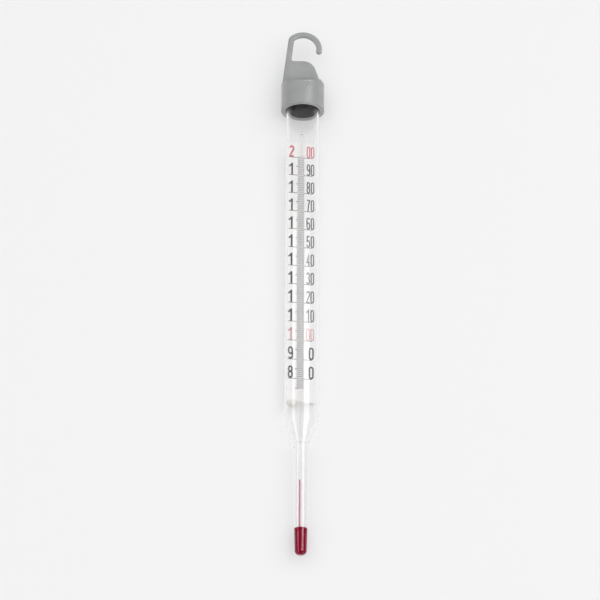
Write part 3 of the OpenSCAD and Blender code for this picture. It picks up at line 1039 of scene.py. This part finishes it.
def make_sky():
    world = bpy.data.worlds.new("tent")
    world.use_nodes = True
    tree = world.node_tree
    x, _, z = split(tree, add(tree, "ShaderNodeTexCoord").outputs["Generated"])
    aside = calc(tree, "ABSOLUTE", x)
    wall = remap(tree, aside, SIDE_TO_FRONT, (SKY_SIDES, SKY_FRONT), smooth=True)
    mirrored_wall = remap(tree, aside, SIDE_TO_FRONT, (MIRROR_SIDES, MIRROR_FRONT), smooth=True)
    from_below = remap(tree, z, BELOW_TO_LEVEL, (SKY_FROM_BELOW, 1.0))
    from_above = remap(tree, z, LEVEL_TO_ABOVE, (1.0, SKY_FROM_ABOVE))
    lighting = calc(tree, "MULTIPLY", wall, calc(tree, "MULTIPLY", from_below, from_above))

    rays = add(tree, "ShaderNodeLightPath").outputs
    straight = calc(tree, "MAXIMUM", rays["Is Camera Ray"], rays["Is Transmission Ray"])
    let_out = calc(tree, "GREATER_THAN", rays["Glossy Depth"], MOST_MIRRORINGS)
    seen = calc(tree, "MAXIMUM", straight, let_out)
    unseen = blended(tree, rays["Is Glossy Ray"], lighting, mirrored_wall)
    background = tree.nodes["Background"]
    background.inputs["Color"].default_value = (1.0, 1.0, 1.0, 1.0)
    join(tree, blended(tree, seen, unseen, SKY_SEEN), background.inputs["Strength"])
    scene.world = world


make_sky()
print("sky from", SKY_SIDES, "at the sides to", SKY_FRONT, "in front")

# %% Lamps
LAMP_DISTANCE = 2.0


def toward(azimuth, elevation):
    """A direction from the thermometer, in degrees to the right of the front and above it."""
    a, e = math.radians(azimuth), math.radians(elevation)
    return Vector((math.sin(a) * math.cos(e), -math.cos(a) * math.cos(e), math.sin(e)))


def make_lamp(name, azimuth, elevation, size, watts):
    data = bpy.data.lights.new(name, "AREA")
    data.size = size
    data.energy = watts
    lamp = bpy.data.objects.new(name, data)
    way = toward(azimuth, elevation)
    lamp.location = AIM + way * LAMP_DISTANCE
    lamp.rotation_mode = "QUATERNION"
    lamp.rotation_quaternion = way.to_track_quat("Z", "Y")
    lamp.visible_glossy = False
    lamp.visible_transmission = False
    scene.collection.objects.link(lamp)
    print(name, "at", [round(x, 2) for x in lamp.location], "m")


make_lamp("key_lamp", azimuth=42, elevation=6, size=1.6, watts=6.0)
make_lamp("fill_lamp", azimuth=-50, elevation=5, size=1.2, watts=0.4)

# %% [markdown]
# ## Reflections
# Three curved cards stand where softboxes would be. They light nothing, and show only in reflections,
# where they draw the bright stripes down the tube, the bulb and the collar. Their light fades towards
# their sides and upper edges, as a softbox does. Only the first mirroring sees them, because later ones
# would sparkle in the glass.

# %% Reflection cards
CARD_DISTANCE = 0.6
CARD_STEPS = 12
SIDE_FADE = 0.6
FIRST_TO_SECOND = (1.0, 2.0)


def make_card_glow(name, azimuths, top, top_fade, strength):
    """Light that fades towards the sides and the top, for a ray that was mirrored once."""
    material, tree, shader = start_material(name)
    tree.nodes.remove(shader)
    rays = add(tree, "ShaderNodeLightPath").outputs
    bounces = calc(tree, "ADD", rays["Diffuse Depth"], rays["Glossy Depth"])
    light = remap(tree, bounces, FIRST_TO_SECOND, (strength, 0.0))
    x, y, z = split(tree, add(tree, "ShaderNodeTexCoord").outputs["Object"])
    upward = remap(tree, z, (top, top - top_fade), (0.0, 1.0), smooth=True)
    azimuth = calc(tree, "ARCTAN2", x, calc(tree, "MULTIPLY", y, -1.0))
    middle = math.radians(sum(azimuths) / 2)
    half = math.radians(azimuths[1] - azimuths[0]) / 2
    off_middle = calc(tree, "ABSOLUTE", calc(tree, "SUBTRACT", azimuth, middle))
    sideways = remap(tree, off_middle, (half, half * (1 - SIDE_FADE)), (0.0, 1.0), smooth=True)
    glow = add(tree, "ShaderNodeEmission")
    faded = calc(tree, "MULTIPLY", upward, sideways)
    join(tree, calc(tree, "MULTIPLY", light, faded), glow.inputs["Strength"])
    join(tree, glow.outputs["Emission"], tree.nodes["Material Output"].inputs["Surface"])
    return material


def make_reflection_card(name, azimuths, heights, strength, top_fade):
    """An upright curved card round the thermometer, seen only in reflections."""
    start, end = azimuths
    vertices = []
    for i in range(CARD_STEPS + 1):
        way = toward(start + (end - start) * i / CARD_STEPS, 0.0) * CARD_DISTANCE
        vertices += [(way.x, way.y, height) for height in heights]
    faces = [[2 * i, 2 * i + 2, 2 * i + 3, 2 * i + 1] for i in range(CARD_STEPS)]
    glow = make_card_glow(name, azimuths, heights[1], top_fade, strength)
    softbox = mesh_object(name, vertices, faces, glow)
    softbox.visible_camera = False
    softbox.visible_diffuse = False
    softbox.visible_transmission = False
    softbox.visible_shadow = False


make_reflection_card("right_softbox", (11, 60), (-0.6, 0.185), strength=5.3, top_fade=0.11)
make_reflection_card("left_softbox", (-66, -38), (-0.6, 0.178), strength=3.6, top_fade=0.036)
make_reflection_card("upper_softbox", (11, 56), (0.275, 0.45), strength=4.0, top_fade=0.036)
print("three reflection cards at", CARD_DISTANCE, "m")
